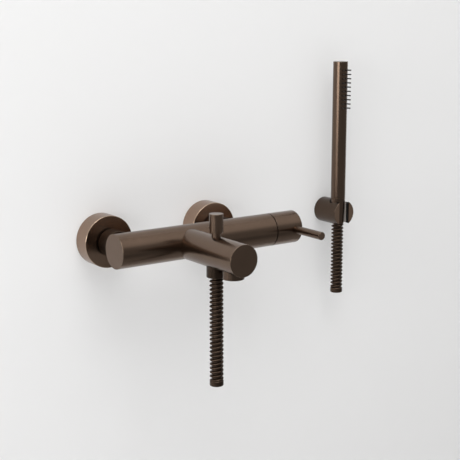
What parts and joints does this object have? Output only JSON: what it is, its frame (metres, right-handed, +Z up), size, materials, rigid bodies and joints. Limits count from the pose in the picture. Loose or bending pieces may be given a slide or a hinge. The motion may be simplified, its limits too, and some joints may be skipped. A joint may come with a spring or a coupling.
{
  "type": "wall mounted bath faucet",
  "caption": "Wall-mounted bath mixer: round body and spout with a pull-up diverter, end cap with pin lever, and a stick hand shower in a slotted round bracket.",
  "frame": {"origin": "on the wall's face, midway between the two inlets, at the height of the mixer body's axis", "axes": "+X along the wall towards the control end and the hand shower, +Y into the wall, +Z up"},
  "size_m": [0.3982, 0.2182, 0.3618],
  "materials": {
    "bronze": "brushed dark bronze coating on brass, satin",
    "hose": "dark bronze coated metal hose, satin",
    "brass": "plain machined brass",
    "steel": "stainless steel, machined",
    "rubber": "black seal rubber, matte",
    "silicone": "dark silicone, satin",
    "black_plastic": "black polymer, satin",
    "nylon": "pale valve polymer, matte"
  },
  "bodies": {
    "fixed": {"escutcheon_left": "bronze", "eccentric_union_left": "brass", "union_nut_left": "bronze", "inlet_washer_left": "rubber", "inlet_strainer_left": "steel", "inlet_spigot_left": "bronze", "check_valve_left": "nylon", "escutcheon_right": "bronze", "eccentric_union_right": "brass", "union_nut_right": "bronze", "inlet_washer_right": "rubber", "inlet_strainer_right": "steel", "inlet_spigot_right": "bronze", "check_valve_right": "nylon", "body_casing": "bronze", "hot_feed_tube": "brass", "mixed_return_tube": "brass", "hot_bulkhead": "brass", "cold_bulkhead": "brass", "cartridge_seat": "brass", "ceramic_cartridge": "nylon", "cartridge_o_ring": "rubber", "cartridge_nut": "brass", "guide_ring": "black_plastic", "spout_tube": "bronze", "spout_connector": "brass", "diverter_bonnet": "bronze", "diverter_spring": "steel", "shower_outlet_nipple": "brass", "outlet_check_valve": "nylon", "hose_nut": "bronze", "hose_washer": "rubber", "bath_hose_ferrule": "steel", "bath_hose": "hose", "bath_hose_end": "hose", "aerator_housing": "bronze", "aerator_insert": "black_plastic", "aerator_washer": "rubber", "bracket_body": "bronze", "bracket_liner": "black_plastic", "bracket_wall_core": "steel", "bracket_screw": "steel", "bracket_grub_screw": "steel"},
    "control": {"control_cap": "bronze", "lever_pin": "bronze", "cartridge_spindle": "steel", "cap_grub_screw": "steel"},
    "diverter": {"diverter_knob": "bronze", "diverter_stem": "steel", "diverter_spool": "brass", "diverter_washer": "rubber"},
    "hose_tail": {"handset_hose_ferrule": "steel", "handset_hose": "hose", "handset_hose_end": "hose"},
    "hand_shower": {"handset_tube": "bronze", "nozzle_insert": "silicone", "handset_nipple": "brass", "handset_washer": "rubber", "cone_nut": "bronze"}
  },
  "joints": [
    {"name": "control_turn", "type": "hinge", "parent": "fixed", "child": "control", "pos_m": [0.142, -0.07425, 0], "axis": [-1, 0, 0], "range_deg": [0, 100]},
    {"name": "diverter_pull", "type": "slide", "parent": "fixed", "child": "diverter", "axis": [0, 0, 1], "range_m": [0, 0.008], "stiffness_N_per_m": 150, "springref_m": -0.02, "deforming": ["diverter_spring"]},
    {"name": "handset_lift", "type": "slide", "parent": "fixed", "child": "hose_tail", "axis": [0, 0, 1], "range_m": [0, 0.05]},
    {"name": "handset_swivel", "type": "hinge", "parent": "hose_tail", "child": "hand_shower", "pos_m": [0.2748, -0.0295, 0], "axis": [0, 0, 1], "continuous": true}
  ]
}
